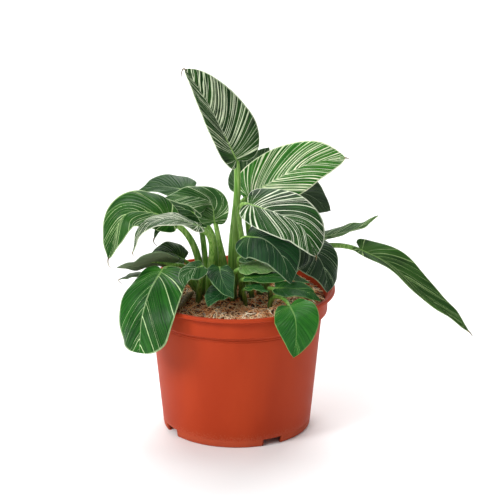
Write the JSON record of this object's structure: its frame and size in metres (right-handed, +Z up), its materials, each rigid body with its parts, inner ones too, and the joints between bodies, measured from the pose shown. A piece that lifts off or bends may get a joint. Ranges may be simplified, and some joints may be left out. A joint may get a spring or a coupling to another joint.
{
  "type": "potted philodendron",
  "caption": "Philodendron with pin-striped leaves on long stalks, growing in a round lipped nursery pot of coir mix.",
  "frame": {"origin": "centre of the pot's foot, on the surface that it stands on", "axes": "+Z up along the pot's axis; -Y is the front of the plant, and +X is to its right seen from the front"},
  "size_m": [0.2877, 0.165, 0.2873],
  "materials": {
    "pot_plastic": "satin",
    "coir_mix": "rough",
    "old_root": "rough",
    "striped_leaf": "satin",
    "green_leaf": "satin"
  },
  "bodies": {
    "root": {"leaf_back_centre": "striped_leaf", "leaf_back_left": "green_leaf", "leaf_back_right": "green_leaf", "leaf_centre_front": "green_leaf", "leaf_centre_left": "striped_leaf", "leaf_far_right": "striped_leaf", "leaf_far_right_upper": "green_leaf", "leaf_front_left": "striped_leaf", "leaf_front_right": "green_leaf", "leaf_front_right_upper": "green_leaf", "leaf_left_front": "striped_leaf", "leaf_left_middle": "striped_leaf", "leaf_left_upper": "striped_leaf", "leaf_low_left": "green_leaf", "leaf_low_left_back": "green_leaf", "leaf_low_left_front": "green_leaf", "leaf_low_right": "green_leaf", "leaf_low_right_front": "green_leaf", "leaf_right_lower": "green_leaf", "leaf_right_middle": "striped_leaf", "leaf_right_rim": "green_leaf", "leaf_right_upper": "striped_leaf", "leaf_rolled": "green_leaf", "leaf_small_centre": "striped_leaf", "leaf_small_front": "green_leaf", "leaf_small_left": "striped_leaf", "leaf_top": "striped_leaf", "old_root": "old_root", "planting_mix": "coir_mix", "pot": "pot_plastic"}
  },
  "joints": []
}
